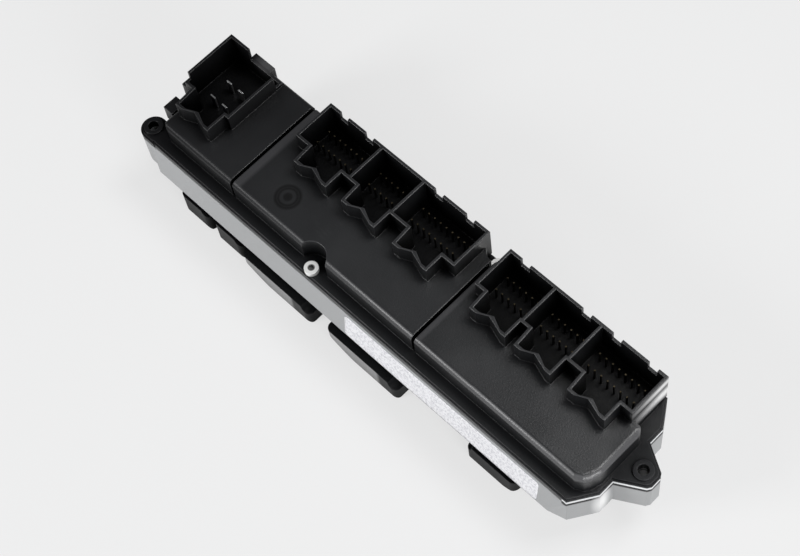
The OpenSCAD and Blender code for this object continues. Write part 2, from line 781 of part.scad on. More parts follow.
// Stem of a lever at x and y: it passes through the face, and pivots between two posts
module lever_stem(x, y, z0) {
    translate([x - stem_len / 2, y - stem_wide / 2, z0])
        cube([stem_len, stem_wide, pivot_z + 2.2 - z0]);
    translate([x, y + post_gap + post_t - 0.2, pivot_z]) rotate([90, 0, 0])
        cylinder(r = pivot_r, h = 2 * (post_gap + post_t - 0.2));
    // Arms that reach under the two domes
    translate([x - 7.2, y - 2.5, pivot_z + 2]) cube([14.4, 5, dome_z - pivot_z - 3.1]);
}

// Head of a lever, lowest near one end: its underside is one long arc
module lever_head(len, width, tip, rise, h) {
    reach = len / 2 + tip;
    arc_r = (reach * reach + rise * rise) / (2 * rise);
    intersection() {
        translate([0, width / 2 + 1, 0]) rotate([90, 0, 0]) linear_extrude(width + 2) difference() {
            intersection() {
                translate([-len / 2 - 1, 0]) square([len + 2, h]);
                translate([tip, arc_r]) circle(arc_r, $fn = 180);
            }
            // Finger hollow over the pulled end
            translate([len / 2 + 1, h + 0.4]) circle(5);
        }
        translate([0, 0, -1]) linear_extrude(h + 2)
            rounded_square(-len / 2, len / 2, -width / 2, width / 2, 3);
        translate([-len / 2 - 1, 0, 0]) rotate([90, 0, 90]) linear_extrude(len + 2)
            rotate(180) arched_square(-width / 2, width / 2, -h - 1, 0, 3);
    }
}

module window_lever(x, side) {
    head_h = face_z - 3.4;
    color("#4a4c4f") union() {
        translate([x, side * lever_y, 0]) lever_head(lever_len, lever_w, 13, 9, head_h);
        lever_stem(x, side * stem_y, head_h - 1);
    }
}

module toggle(x, side) {
    head_h = face_z - 1.8;
    color("#3c3e41") union() {
        translate([x, side * toggle_y, 0]) intersection() {
            lever_head(toggle_len, toggle_w, 3, 4, head_h + 1);
            translate([-toggle_len, -toggle_w, 0]) cube([2 * toggle_len, 2 * toggle_w, head_h]);
        }
        lever_stem(x, side * stem_y, head_h - 1);
    }
}

module lock_rocker(x, side) {
    head_h = face_z - 2.6;
    color("#3c3e41") union() {
        translate([x, side * toggle_y, 0]) rotate(180)
            lever_head(rocker_len, toggle_w, 7, 6, head_h);
        lever_stem(x, side * stem_y, head_h - 1);
    }
}

module end_button(side) {
    cap_top = face_z - button_travel - 0.4;
    stem_top = dome_z - button_travel - 0.3;
    color("#3c3e41") {
        translate([button_x, side * button_y, cap_top]) mirror([0, 0, 1])
            soft_block(-button_len / 2, button_len / 2, -button_w / 2, button_w / 2,
                0, button_out, 1.5, 2);
        translate([button_x, side * button_stem_y, 0]) {
            translate([-button_len / 2 + 1, -button_stem_w / 2, cap_top - 0.1])
                cube([button_len - 2, button_stem_w, stem_top - cap_top + 0.1]);
            // Collar that keeps the button from falling out
            translate([-button_len / 2 + 0.5, -button_stem_w / 2 - collar_out,
                carrier_top + slide_gap])
                cube([button_len - 1, button_stem_w + 2 * collar_out, 1.5]);
        }
    }
}

module window_lever_near_left() { window_lever(lever_left_x, -1); }
module window_lever_near_right() { window_lever(lever_right_x, -1); }
module window_lever_far_left() { window_lever(lever_left_x, 1); }
module window_lever_far_right() { window_lever(lever_right_x, 1); }
module toggle_near_left() { toggle(toggle_left_x, -1); }
module toggle_near_right() { toggle(toggle_right_x, -1); }
module toggle_far_left() { toggle(toggle_left_x, 1); }
module toggle_far_right() { toggle(toggle_right_x, 1); }
module lock_rocker_near() { lock_rocker(rocker_x, -1); }
module lock_rocker_far() { lock_rocker(rocker_x, 1); }
module end_button_near() { end_button(-1); }
module end_button_far() { end_button(1); }

rear_cover();
front_housing();
carrier_frame();
main_board();
dome_mat();
contact_pills();
light_pipe();
board_chips();
board_lamps();
board_screws();
cover_screws();
pins_large();
pins_mid_left();
pins_mid_centre();
pins_mid_right();
pins_end_left();
pins_end_centre();
pins_end_right();
window_lever_near_left();
window_lever_near_right();
window_lever_far_left();
window_lever_far_right();
toggle_near_left();
toggle_near_right();
toggle_far_left();
toggle_far_right();
lock_rocker_near();
lock_rocker_far();
end_button_near();
end_button_far();
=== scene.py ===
# %% [markdown]
# # Power window switch
# This lesson dresses a CAD model of a car door's switch bank. The bank lies face down on its
# levers, so the picture shows its black rear cover with seven wiring sockets.
# The CAD model gives every size and place. Here it gets its materials, a paper label, small
# moulding marks, a floor, lights and a camera.

# %% Load the CAD model
import json
import math

import bpy
from mathutils import Matrix, Vector


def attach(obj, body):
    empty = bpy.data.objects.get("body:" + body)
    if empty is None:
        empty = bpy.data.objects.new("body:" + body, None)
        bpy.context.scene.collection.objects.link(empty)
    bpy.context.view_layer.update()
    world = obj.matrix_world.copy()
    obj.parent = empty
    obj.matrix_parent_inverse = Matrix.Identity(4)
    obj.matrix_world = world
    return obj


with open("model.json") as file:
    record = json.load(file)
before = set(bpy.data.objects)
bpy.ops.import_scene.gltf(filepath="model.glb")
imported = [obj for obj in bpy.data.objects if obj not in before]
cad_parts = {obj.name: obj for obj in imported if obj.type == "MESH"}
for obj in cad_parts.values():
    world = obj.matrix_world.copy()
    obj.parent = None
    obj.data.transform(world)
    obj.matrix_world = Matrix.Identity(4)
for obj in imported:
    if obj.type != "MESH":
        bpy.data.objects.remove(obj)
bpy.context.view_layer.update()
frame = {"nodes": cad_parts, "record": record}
nodes = frame["nodes"]

# %% [markdown]
# ## The camera
# The photograph was taken from above and from the right end, with a long lens. A camera could be
# placed by eye or aimed at a point. Here its place was worked out by matching edges of the model
# with those in the photograph. Its three axes are written as the columns of a rotation matrix,
# which also keeps the slight roll that aiming at a point would lose.

# %% Set the camera
CAMERA_PLACE = (0.26764, -0.19468, 0.66786)
CAMERA_RIGHT = (0.70756, 0.70126, -0.08714)
CAMERA_UP = (-0.59819, 0.66004, 0.45444)
CAMERA_BACK = (0.37620, -0.26942, 0.88650)
LENS_MM = 81

camera_data = bpy.data.cameras.new("camera")
camera_data.lens = LENS_MM
camera_data.sensor_width = 36
camera_data.sensor_fit = "HORIZONTAL"
camera_data.clip_start = 0.01
camera = bpy.data.objects.new("camera", camera_data)
axes = Matrix((CAMERA_RIGHT, CAMERA_UP, CAMERA_BACK)).transposed()
camera.matrix_world = Matrix.Translation(CAMERA_PLACE) @ axes.to_4x4()
bpy.context.scene.collection.objects.link(camera)
bpy.context.scene.camera = camera
print("camera looks down at", round(math.degrees(math.asin(CAMERA_BACK[2])), 1), "degrees")

# %% [markdown]
# ## Floor and light
# A product photograph is lit by large soft lamps over a pale table. The light could come from a
# picture of a studio, but lamps can be placed just where the photograph shows their reflections.
# One wide lamp hangs high over the right end. Its reflection fades along the bank, so the left
# end looks darker. A lamp in front draws a light line along the blocks' rounded near edges, and
# one at the right does the same for the right end. The world adds a weak even light, which the
# camera sees as a pale backdrop.

# %% Set the lamps, the world and the floor
LIT_POINT = Vector((0, 0, 0.03))
WORLD_LIGHT, SEEN_EXTRA = 0.15, 0.67
FLOOR_SIDE = 6


def area_light(name, place, size, watts):
    """A square lamp at place that shines towards the bank."""
    data = bpy.data.lights.new(name, "AREA")
    data.size = size
    data.energy = watts
    lamp = bpy.data.objects.new(name, data)
    lamp.location = place
    direction = LIT_POINT - Vector(place)
    lamp.rotation_mode = "QUATERNION"
    lamp.rotation_quaternion = direction.to_track_quat("-Z", "Y")
    bpy.context.scene.collection.objects.link(lamp)


area_light("key", (0.30, 0.45, 1.20), 0.5, 12)
area_light("front", (-0.55, -1.05, 0.75), 0.45, 15)
area_light("side", (1.10, -0.25, 0.55), 0.50, 11)

world = bpy.data.worlds.new("world")
world.use_nodes = True
backdrop = world.node_tree.nodes["Background"]
backdrop.inputs["Color"].default_value = (1, 1, 1, 1)
ray = world.node_tree.nodes.new("ShaderNodeLightPath")
strength = world.node_tree.nodes.new("ShaderNodeMath")
strength.operation = "MULTIPLY_ADD"
strength.inputs[1].default_value = SEEN_EXTRA
strength.inputs[2].default_value = WORLD_LIGHT
world.node_tree.links.new(ray.outputs["Is Camera Ray"], strength.inputs[0])
world.node_tree.links.new(strength.outputs[0], backdrop.inputs["Strength"])
bpy.context.scene.world = world
bpy.context.scene.view_settings.view_transform = "Standard"
print("world light", WORLD_LIGHT, "and to the camera", WORLD_LIGHT + SEEN_EXTRA)

bpy.ops.mesh.primitive_plane_add(size=FLOOR_SIDE, location=(0, 0, 0))
floor = bpy.context.object
floor.name = "floor"

# %% [markdown]
# ## Building shaders with short calls
# A material is a small network of nodes. It could be put together by hand in the shader editor,
# but a script can be read and repeated. These helpers make a node, set its sockets, link nodes
# and open a group with named sockets, so that each material below stays short.

# %% Helpers for node networks
def node(tree, kind, at=(0, 0), **settings):
    """A new node of that kind. Settings are the node's own properties."""
    made = tree.nodes.new(kind)
    made.location = at
    for key, value in settings.items():
        setattr(made, key, value)
    return made


def put(made, **values):
    """Sets constants on a node's sockets. An underscore in a name stands for a space."""
    for key, value in values.items():
        made.inputs[key.replace("_", " ")].default_value = value
    return made


def rgba(colour):
    """A colour with full opacity, as sockets want it."""
    return (*colour, 1.0)


def join(tree, *pairs):
    """Links each pair of an output and an input."""
    for start, end in pairs:
        tree.links.new(start, end)


def new_group(name, vectors=(), floats=(), outputs=("Mask",)):
    """A shader node group with named sockets. Returns the group, its entry and its exit."""
    group = bpy.data.node_groups.new(name, "ShaderNodeTree")
    for title in vectors:
        group.interface.new_socket(title, in_out="INPUT", socket_type="NodeSocketVector")
    for title, value in floats:
        socket = group.interface.new_socket(title, in_out="INPUT",
                                            socket_type="NodeSocketFloat")
        socket.default_value = value
    for title in outputs:
        kind = "NodeSocketVector" if title == "Normal" else "NodeSocketFloat"
        group.interface.new_socket(title, in_out="OUTPUT", socket_type=kind)
    return group, node(group, "NodeGroupInput", (-900, 0)), node(group, "NodeGroupOutput", (700, 0))


def new_material(name):
    """An empty material with a Principled shader. Returns material, tree and shader."""
    material = bpy.data.materials.new(name)
    material.use_nodes = True
    tree = material.node_tree
    return material, tree, tree.nodes["Principled BSDF"]


print("helpers for materials", node.__name__, put.__name__, join.__name__)

# %% [markdown]
# ## A shared surface
# Every moulded part has the same three traits: edges that are slightly rounded by the mould, a
# fine grain, and a faint unevenness from handling. The edges could be rounded in the mesh, but the
# CAD model stays as it is, so they are rounded in the shading only. One node group makes all three
# traits, and each material sets how strong they are. Two more masks tell how open a place is to
# the sky, which the materials use to paint shade into the depths of the sockets, and how near it
# is to an edge, where plastic looks paler. The group gives a normal and masks, never a shader.

# %% Make the surface group
EDGE_TURN = (0.96, 0.86)
SCUFF_RANGE = (0.62, 0.78)
SKY_REACH = 0.03
OPEN_RANGE = (0.25, 0.80)


def make_surface_group():
    """A normal with rounded edges and grain, and masks for wear, depth and edges."""
    group, entry, leave = new_group(
        "moulded_surface",
        floats=(("Grain scale", 900.0), ("Grain depth", 0.1), ("Edge radius", 0.0003),
                ("Scuff scale", 60.0)),
        outputs=("Normal", "Mottle", "Scuffs", "Open", "Edge"))
    place = node(group, "ShaderNodeTexCoord", (-900, -300))
    link = group.links.new

    edge = node(group, "ShaderNodeBevel", (-500, 250), samples=8)
    link(entry.outputs["Edge radius"], edge.inputs["Radius"])
    flat = node(group, "ShaderNodeNewGeometry", (-500, 450))
    turned = node(group, "ShaderNodeVectorMath", (-300, 400), operation="DOT_PRODUCT")
    link(edge.outputs["Normal"], turned.inputs[0])
    link(flat.outputs["Normal"], turned.inputs[1])
    rim = node(group, "ShaderNodeMapRange", (-100, 400))
    put(rim, From_Min=EDGE_TURN[0], From_Max=EDGE_TURN[1])
    link(turned.outputs["Value"], rim.inputs["Value"])

    grain = put(node(group, "ShaderNodeTexNoise", (-500, 0)), Detail=3.0, Roughness=0.6)
    link(place.outputs["Object"], grain.inputs["Vector"])
    link(entry.outputs["Grain scale"], grain.inputs["Scale"])
    bump = put(node(group, "ShaderNodeBump", (-100, 100)), Distance=0.0004)
    link(entry.outputs["Grain depth"], bump.inputs["Strength"])
    link(grain.outputs["Fac"], bump.inputs["Height"])
    link(edge.outputs["Normal"], bump.inputs["Normal"])
    link(bump.outputs["Normal"], leave.inputs["Normal"])

    mottle = put(node(group, "ShaderNodeTexNoise", (-500, -250)), Scale=35.0, Detail=5.0)
    link(place.outputs["Object"], mottle.inputs["Vector"])
    link(mottle.outputs["Fac"], leave.inputs["Mottle"])

    stretch = node(group, "ShaderNodeMapping", (-700, -500))
    stretch.inputs["Scale"].default_value = (1.0, 6.0, 3.0)
    stretch.inputs["Rotation"].default_value = (0.3, 0.2, 0.6)
    link(place.outputs["Object"], stretch.inputs["Vector"])
    scuff = put(node(group, "ShaderNodeTexNoise", (-500, -500)), Detail=6.0, Roughness=0.7)
    link(stretch.outputs["Vector"], scuff.inputs["Vector"])
    link(entry.outputs["Scuff scale"], scuff.inputs["Scale"])
    ramp = node(group, "ShaderNodeMapRange", (-100, -500))
    put(ramp, From_Min=SCUFF_RANGE[0], From_Max=SCUFF_RANGE[1])
    link(scuff.outputs["Fac"], ramp.inputs["Value"])
    link(ramp.outputs["Result"], leave.inputs["Scuffs"])

    sky = node(group, "ShaderNodeAmbientOcclusion", (-500, -800), samples=6)
    put(sky, Distance=SKY_REACH)
    clear_of = node(group, "ShaderNodeMapRange", (-100, -800))
    put(clear_of, From_Min=OPEN_RANGE[0], From_Max=OPEN_RANGE[1])
    link(sky.outputs["AO"], clear_of.inputs["Value"])
    link(clear_of.outputs["Result"], leave.inputs["Open"])
    outer_rim = node(group, "ShaderNodeMath", (200, 400), operation="MULTIPLY")
    link(rim.outputs["Result"], outer_rim.inputs[0])
    link(clear_of.outputs["Result"], outer_rim.inputs[1])
    link(outer_rim.outputs[0], leave.inputs["Edge"])
    return group


SURFACE = make_surface_group()
print("surface group has", len(SURFACE.nodes), "nodes")

# %% [markdown]
# ## Plastics
# The bank is nearly all moulded plastic. A plain colour would look like a toy, so the colour and
# the roughness both wander a little, and scuffs are lighter than clean plastic. Each part could
# have its own network, but one function serves for the cover, the housing and the levers, which
# differ only in its numbers. The cover also shines less on its low flange and towards its left
# end, as in the photograph.

# %% Make a plastic
LOW_SHEEN, SHEEN_FADE = 0.5, 0.001
DULL_END, DULL_FROM_X, DULL_TO_X = 0.5, 0.0, -0.13


def paint_hollow_shade(tree, surface, shade_in_hollows, colour):
    """Paints shade into hollows: darkens a colour where the surface is closed off from the sky.
    Returns the factor's socket and the dimmed colour's socket.
    """
    factor = node(tree, "ShaderNodeMapRange", (-500, 500))
    put(factor, To_Min=1 - shade_in_hollows)
    tree.links.new(surface.outputs["Open"], factor.inputs["Value"])
    dimmed = node(tree, "ShaderNodeVectorMath", (-50, 250), operation="SCALE")
    tree.links.new(colour, dimmed.inputs[0])
    tree.links.new(factor.outputs["Result"], dimmed.inputs["Scale"])
    return factor.outputs["Result"], dimmed.outputs["Vector"]


def plastic(name, colour, rough, grain=(900, 0.1), edge=0.0003, vary=0.15, scuff=0.1,
            scuff_colour=(0.3, 0.3, 0.3), specular=0.5, shade_in_hollows=0.3, pale=0.0,
            sheen_from=None):
    """A moulded plastic. vary is how much the colour wanders, scuff how strongly scuffs show, the
    number for hollows how much shade is painted into them, darkening colour and sheen there, and
    pale how much its edges turn to the scuffs' colour. Below the height sheen_from it shines less.
    Its colour can be changed later at the last colour mix node, which recolour finds by its name."""
    material, tree, shader = new_material(name)
    link = tree.links.new
    surface = node(tree, "ShaderNodeGroup", (-900, 0), node_tree=SURFACE)
    put(surface, Grain_scale=grain[0], Grain_depth=grain[1], Edge_radius=edge)
    shade = node(tree, "ShaderNodeMix", (-500, 200), data_type="RGBA")
    shade.inputs[6].default_value = rgba([c * (1 - vary) for c in colour])
    shade.inputs[7].default_value = rgba([min(1.0, c * (1 + vary)) for c in colour])
    link(surface.outputs["Mottle"], shade.inputs[0])
    paleness = node(tree, "ShaderNodeMath", (-700, -200), operation="MULTIPLY")
    paleness.inputs[1].default_value = pale
    link(surface.outputs["Edge"], paleness.inputs[0])
    amount = node(tree, "ShaderNodeMath", (-500, -100), operation="MULTIPLY_ADD")
    amount.inputs[1].default_value = scuff
    link(surface.outputs["Scuffs"], amount.inputs[0])
    link(paleness.outputs[0], amount.inputs[2])
    tinted = node(tree, "ShaderNodeMix", (-250, 100), data_type="RGBA", name="tinted")
    tinted.inputs[7].default_value = rgba(scuff_colour)
    link(amount.outputs[0], tinted.inputs[0])
    link(shade.outputs[2], tinted.inputs[6])
    light, dimmed = paint_hollow_shade(tree, surface, shade_in_hollows, tinted.outputs[2])
    link(dimmed, shader.inputs["Base Color"])
    sheen = node(tree, "ShaderNodeMath", (-200, -200), operation="MULTIPLY")
    sheen.inputs[1].default_value = specular
    link(light, sheen.inputs[0])
    link(sheen.outputs[0], shader.inputs["Specular IOR Level"])
    if sheen_from is not None:
        place = node(tree, "ShaderNodeTexCoord", (-900, -500))
        parts = node(tree, "ShaderNodeSeparateXYZ", (-700, -500))
        height = node(tree, "ShaderNodeMapRange", (-500, -600))
        put(height, From_Min=sheen_from - SHEEN_FADE, From_Max=sheen_from + SHEEN_FADE,
            To_Min=specular * LOW_SHEEN, To_Max=specular)
        along = node(tree, "ShaderNodeMapRange", (-500, -800))
        put(along, From_Min=DULL_TO_X, From_Max=DULL_FROM_X, To_Min=DULL_END, To_Max=1.0)
        both = node(tree, "ShaderNodeMath", (-300, -600), operation="MULTIPLY")
        link(place.outputs["Object"], parts.inputs[0])
        link(parts.outputs["Z"], height.inputs["Value"])
        link(parts.outputs["X"], along.inputs["Value"])
        link(height.outputs["Result"], both.inputs[0])
        link(along.outputs["Result"], both.inputs[1])
        link(both.outputs[0], sheen.inputs[1])
    gloss = node(tree, "ShaderNodeMapRange", (-500, -350))
    put(gloss, From_Min=0.3, From_Max=0.7, To_Min=rough - 0.05, To_Max=rough + 0.05)
    link(surface.outputs["Mottle"], gloss.inputs["Value"])
    link(gloss.outputs["Result"], shader.inputs["Roughness"])
    link(surface.outputs["Normal"], shader.inputs["Normal"])
    return material


print("plastic reads its wear from", SURFACE.name)

# %% [markdown]
# ## Metals
# The screws and the terminals are plated metal. A picture of brushed metal could be laid over
# them, but they are only a few millimetres wide. So a metal is a colour that varies a little,
# with faint scratches, and like the plastics it gets painted shade that darkens it in hollows.

# %% Make a metal
def metal(name, colour, rough, scratch=0.06, shade_in_hollows=0.6, metallic=1.0):
    """A plated metal with faint scratches, and painted shade that darkens it in hollows."""
    material, tree, shader = new_material(name)
    link = tree.links.new
    surface = node(tree, "ShaderNodeGroup", (-900, 0), node_tree=SURFACE)
    put(surface, Grain_scale=1500.0, Grain_depth=scratch, Edge_radius=0.00015)
    shade = node(tree, "ShaderNodeMix", (-500, 200), data_type="RGBA", name="tinted")
    shade.inputs[6].default_value = rgba([c * 0.85 for c in colour])
    shade.inputs[7].default_value = rgba(colour)
    link(surface.outputs["Mottle"], shade.inputs[0])
    link(paint_hollow_shade(tree, surface, shade_in_hollows, shade.outputs[2])[1], shader.inputs["Base Color"])
    link(surface.outputs["Normal"], shader.inputs["Normal"])
    put(shader, Metallic=metallic, Roughness=rough)
    return material


print("metal reads its scratches from", SURFACE.name)

# %% [markdown]
# ## The finishes
# Each call below makes one finish of the real bank. The cover is nearly black, and painted shade
# makes the depths of its sockets darker still. The housing is a mid grey. The levers and toggles
# have little sheen, because they stand close to the pale table and would mirror it, and painted
# shade darkens them where they sit close under the housing. The inner parts can't be seen in the
# photograph, so they get the usual colours of such parts.

# %% Make all the finishes
# Every finish below gets painted shade in its hollows, strongest in the cover, the levers and the
# toggles.
black = plastic("cover_black", (0.011, 0.0115, 0.0125), 0.34, grain=(1400, 0.15), edge=0.0006,
                vary=0.3, scuff=0.08, scuff_colour=(0.10, 0.10, 0.105), specular=0.45,
                shade_in_hollows=0.96, pale=0.4, sheen_from=0.0425)
grey = plastic("housing_grey", (0.29, 0.295, 0.30), 0.45, grain=(1200, 0.1), edge=0.0004,
               vary=0.03, scuff=0.12, scuff_colour=(0.18, 0.18, 0.185))
inner = plastic("inner_frame", (0.05, 0.05, 0.055), 0.5)
lever = plastic("lever_satin", (0.010, 0.0105, 0.0115), 0.40, grain=(1800, 0.12), edge=0.0006,
                vary=0.2, scuff=0.06, scuff_colour=(0.1, 0.1, 0.1), specular=0.1, shade_in_hollows=0.9)
toggle = plastic("toggle_satin", (0.006, 0.0063, 0.007), 0.42, grain=(1800, 0.12), edge=0.0006,
                 vary=0.2, scuff=0.06, scuff_colour=(0.1, 0.1, 0.1), specular=0.07, shade_in_hollows=0.95,
                 pale=0.25)
board = plastic("board_green", (0.02, 0.11, 0.045), 0.3, grain=(600, 0.05), vary=0.2)
mat = plastic("dome_rubber", (0.30, 0.31, 0.33), 0.7, vary=0.05)
carbon = plastic("contact_carbon", (0.02, 0.02, 0.02), 0.6)
chip = plastic("chip_black", (0.02, 0.02, 0.022), 0.5)
lamp_resin = plastic("lamp_resin", (0.85, 0.80, 0.55), 0.2, vary=0.03)
steel = metal("zinc_steel", (0.93, 0.93, 0.92), 0.45, shade_in_hollows=0.35, metallic=0.75)
tin = metal("tinned_terminal", (0.60, 0.61, 0.62), 0.35, shade_in_hollows=0.5)
# The brass is tarnished brass darkened much further, as painted shade of the deep sockets that the
# terminals stand in.
brass = metal("brass_terminal", (0.09, 0.075, 0.05), 0.5, shade_in_hollows=0.98)
print("materials", len(bpy.data.materials))

# %% [markdown]
# ## A mask for bands
# Some marks sit at one place on a part. They could be painted on a picture that is wrapped round
# it, but a mask that is worked out from the part's own coordinates stays sharp and needs no
# picture. The first one is a band between two heights, for the line where two mouldings meet.

# %% Make the band's mask
def make_band_group():
    """Mask of a height band to the right of an X: 1 in its core, fading to 0 at its border."""
    group, entry, leave = new_group(
        "height_band", floats=(("Middle", 0.0), ("Core", 0.0004), ("Border", 0.0005),
                               ("From X", 0.0)))
    place = node(group, "ShaderNodeTexCoord", (-800, -200))
    parts = node(group, "ShaderNodeSeparateXYZ", (-600, -200))
    offset = node(group, "ShaderNodeMath", (-400, 0), operation="SUBTRACT")
    away = node(group, "ShaderNodeMath", (-200, 0), operation="ABSOLUTE")
    within = put(node(group, "ShaderNodeMapRange", (0, 0)), To_Min=1.0, To_Max=0.0)
    beyond = node(group, "ShaderNodeMath", (0, -300), operation="GREATER_THAN")
    both = node(group, "ShaderNodeMath", (300, 0), operation="MULTIPLY")
    join(group, (place.outputs["Object"], parts.inputs[0]),
         (parts.outputs["Z"], offset.inputs[0]),
         (entry.outputs["Middle"], offset.inputs[1]),
         (offset.outputs[0], away.inputs[0]),
         (away.outputs[0], within.inputs["Value"]),
         (entry.outputs["Core"], within.inputs["From Min"]),
         (entry.outputs["Border"], within.inputs["From Max"]),
         (parts.outputs["X"], beyond.inputs[0]),
         (entry.outputs["From X"], beyond.inputs[1]),
         (within.outputs["Result"], both.inputs[0]),
         (beyond.outputs[0], both.inputs[1]),
         (both.outputs[0], leave.inputs["Mask"]))
    return group


BAND = make_band_group()
print("mask group", BAND.name)

# %% [markdown]
# ## A mask for a round print
# Moulds often leave a round mark where an insert sat. It could be cut into the CAD model, but it
# has hardly any depth. So the distance from its centre is turned into rings by a colour ramp.

# %% Make the print's mask
def make_print_group():
    """Mask of a round print seen along Z: two rings round a disc, all with soft borders."""
    group, entry, leave = new_group("round_print", vectors=("Centre",),
                                    floats=(("Radius", 0.004),))
    place = node(group, "ShaderNodeTexCoord", (-900, -200))
    away = node(group, "ShaderNodeVectorMath", (-700, 0), operation="SUBTRACT")
    flat = node(group, "ShaderNodeVectorMath", (-500, 0), operation="MULTIPLY")
    flat.inputs[1].default_value = (1.0, 1.0, 0.0)
    length = node(group, "ShaderNodeVectorMath", (-300, 0), operation="LENGTH")
    share = node(group, "ShaderNodeMath", (-100, 0), operation="DIVIDE")
    rings = node(group, "ShaderNodeValToRGB", (100, 0))
    ramp = rings.color_ramp
    ramp.elements[0].position = 0.0
    ramp.elements[0].color = (1, 1, 1, 1)
    ramp.elements[1].position = 1.0
    ramp.elements[1].color = (0, 0, 0, 1)
    for stop, level in ((0.25, 0.9), (0.38, 0.15), (0.50, 0.2), (0.62, 1.0), (0.72, 0.6),
                        (0.82, 1.0), (0.95, 0.3)):
        element = ramp.elements.new(stop)
        element.color = (level, level, level, 1)
    join(group, (place.outputs["Object"], away.inputs[0]),
         (entry.outputs["Centre"], away.inputs[1]),
         (away.outputs[0], flat.inputs[0]),
         (flat.outputs[0], length.inputs[0]),
         (length.outputs["Value"], share.inputs[0]),
         (entry.outputs["Radius"], share.inputs[1]),
         (share.outputs[0], rings.inputs[0]),
         (rings.outputs[0], leave.inputs["Mask"]))
    return group


PRINT = make_print_group()
print("mask group", PRINT.name)

# %% [markdown]
# ## A mask for a soft spot
# The last mask is a spot that fades outwards. It picks out a lug, an ear, a corner or a screw's
# socket. Its height can count fully, in part or not at all, which makes it a ball, a tall egg or
# a column.

# %% Make the spot's mask
def make_spot_group():
    """Mask of a soft spot. Upright 0 makes it a column along Z, and 1 a ball."""
    group, entry, leave = new_group(
        "soft_spot", vectors=("Centre",),
        floats=(("Core", 0.001), ("Border", 0.002), ("Upright", 1.0)))
    place = node(group, "ShaderNodeTexCoord", (-900, -200))
    away = node(group, "ShaderNodeVectorMath", (-700, 0), operation="SUBTRACT")
    weights = put(node(group, "ShaderNodeCombineXYZ", (-700, -300)), X=1.0, Y=1.0)
    scaled = node(group, "ShaderNodeVectorMath", (-500, 0), operation="MULTIPLY")
    length = node(group, "ShaderNodeVectorMath", (-300, 0), operation="LENGTH")
    within = put(node(group, "ShaderNodeMapRange", (0, 0)), To_Min=1.0, To_Max=0.0)
    join(group, (place.outputs["Object"], away.inputs[0]),
         (entry.outputs["Centre"], away.inputs[1]),
         (entry.outputs["Upright"], weights.inputs["Z"]),
         (away.outputs[0], scaled.inputs[0]),
         (weights.outputs[0], scaled.inputs[1]),
         (scaled.outputs[0], length.inputs[0]),
         (length.outputs["Value"], within.inputs["Value"]),
         (entry.outputs["Core"], within.inputs["From Min"]),
         (entry.outputs["Border"], within.inputs["From Max"]),
         (within.outputs["Result"], leave.inputs["Mask"]))
    return group


SPOT = make_spot_group()
print("mask group", SPOT.name)

# %% [markdown]
# ## Putting masks into a material
# A mark is often the overlap of several masks, such as a band, a slope and a stretch along the
# bank. The overlap is their product. A ramp along one axis is the simplest mask, so it needs no
# group of its own.

# %% Helpers that place and multiply masks
def banded(material, middle, core, border, from_x):
    """The mask's socket of a height band in a material. All sizes are in metres."""
    made = node(material.node_tree, "ShaderNodeGroup", (-500, 700), node_tree=BAND)
    put(made, Middle=middle, Core=core, Border=border, From_X=from_x)
    return made.outputs["Mask"]


def spotted(material, centre, core, border, upright=1.0):
    """The mask's socket of a soft spot in a material."""
    made = node(material.node_tree, "ShaderNodeGroup", (-500, 900), node_tree=SPOT)
    put(made, Centre=centre, Core=core, Border=border, Upright=upright)
    return made.outputs["Mask"]


def ramped(material, source, axis, low, high):
    """A ramp from 0 at low to 1 at high, along an axis of the position or of the direction."""
    tree = material.node_tree
    place = node(tree, "ShaderNodeTexCoord", (-1100, 1200))
    parts = node(tree, "ShaderNodeSeparateXYZ", (-900, 1200))
    ramp = put(node(tree, "ShaderNodeMapRange", (-700, 1200)), From_Min=low, From_Max=high)
    tree.links.new(place.outputs[source], parts.inputs[0])
    tree.links.new(parts.outputs[axis], ramp.inputs["Value"])
    return ramp.outputs["Result"]


def times(material, first, *others):
    """The product of several masks."""
    for other in others:
        both = node(material.node_tree, "ShaderNodeMath", (-500, 1200), operation="MULTIPLY")
        material.node_tree.links.new(first, both.inputs[0])
        material.node_tree.links.new(other, both.inputs[1])
        first = both.outputs[0]
    return first


print("masks can be multiplied by", times.__name__)

# %% [markdown]
# ## Using a mask
# A mark on plastic changes either its colour or its sheen. A second material could be given to
# the marked faces, but it would end at the faces' edges. So recolour mixes a colour in where the
# mask is set, and dull takes sheen away there. Each can be called again on top of the last.

# %% Helpers that recolour and dull
def recolour(material, mask, colour, strength):
    """Mixes a colour into a material's own colour where a mask's socket is set."""
    tree = material.node_tree
    tinted = tree.nodes["tinted"]
    after = [link.to_socket for link in tinted.outputs[2].links]
    tinted.name = "under"
    mix = node(tree, "ShaderNodeMix", (-150, 500), data_type="RGBA", name="tinted")
    amount = node(tree, "ShaderNodeMath", (-300, 600), operation="MULTIPLY")
    amount.inputs[1].default_value = strength
    tree.links.new(mask, amount.inputs[0])
    tree.links.new(amount.outputs[0], mix.inputs[0])
    tree.links.new(tinted.outputs[2], mix.inputs[6])
    mix.inputs[7].default_value = rgba(colour)
    for socket in after:
        tree.links.new(mix.outputs[2], socket)


def dull(material, mask, strength):
    """Takes some of a material's sheen away where a mask's socket is set."""
    tree = material.node_tree
    sheen = tree.nodes["Principled BSDF"].inputs["Specular IOR Level"]
    before = sheen.links[0].from_socket
    keep = node(tree, "ShaderNodeMath", (-500, 1500), operation="MULTIPLY_ADD")
    keep.inputs[1].default_value = -strength
    keep.inputs[2].default_value = 1.0
    both = node(tree, "ShaderNodeMath", (-300, 1500), operation="MULTIPLY")
    tree.links.new(mask, keep.inputs[0])
    tree.links.new(before, both.inputs[0])
    tree.links.new(keep.outputs[0], both.inputs[1])
    tree.links.new(both.outputs[0], sheen)


print("masks are used by", recolour.__name__, "and", dull.__name__)

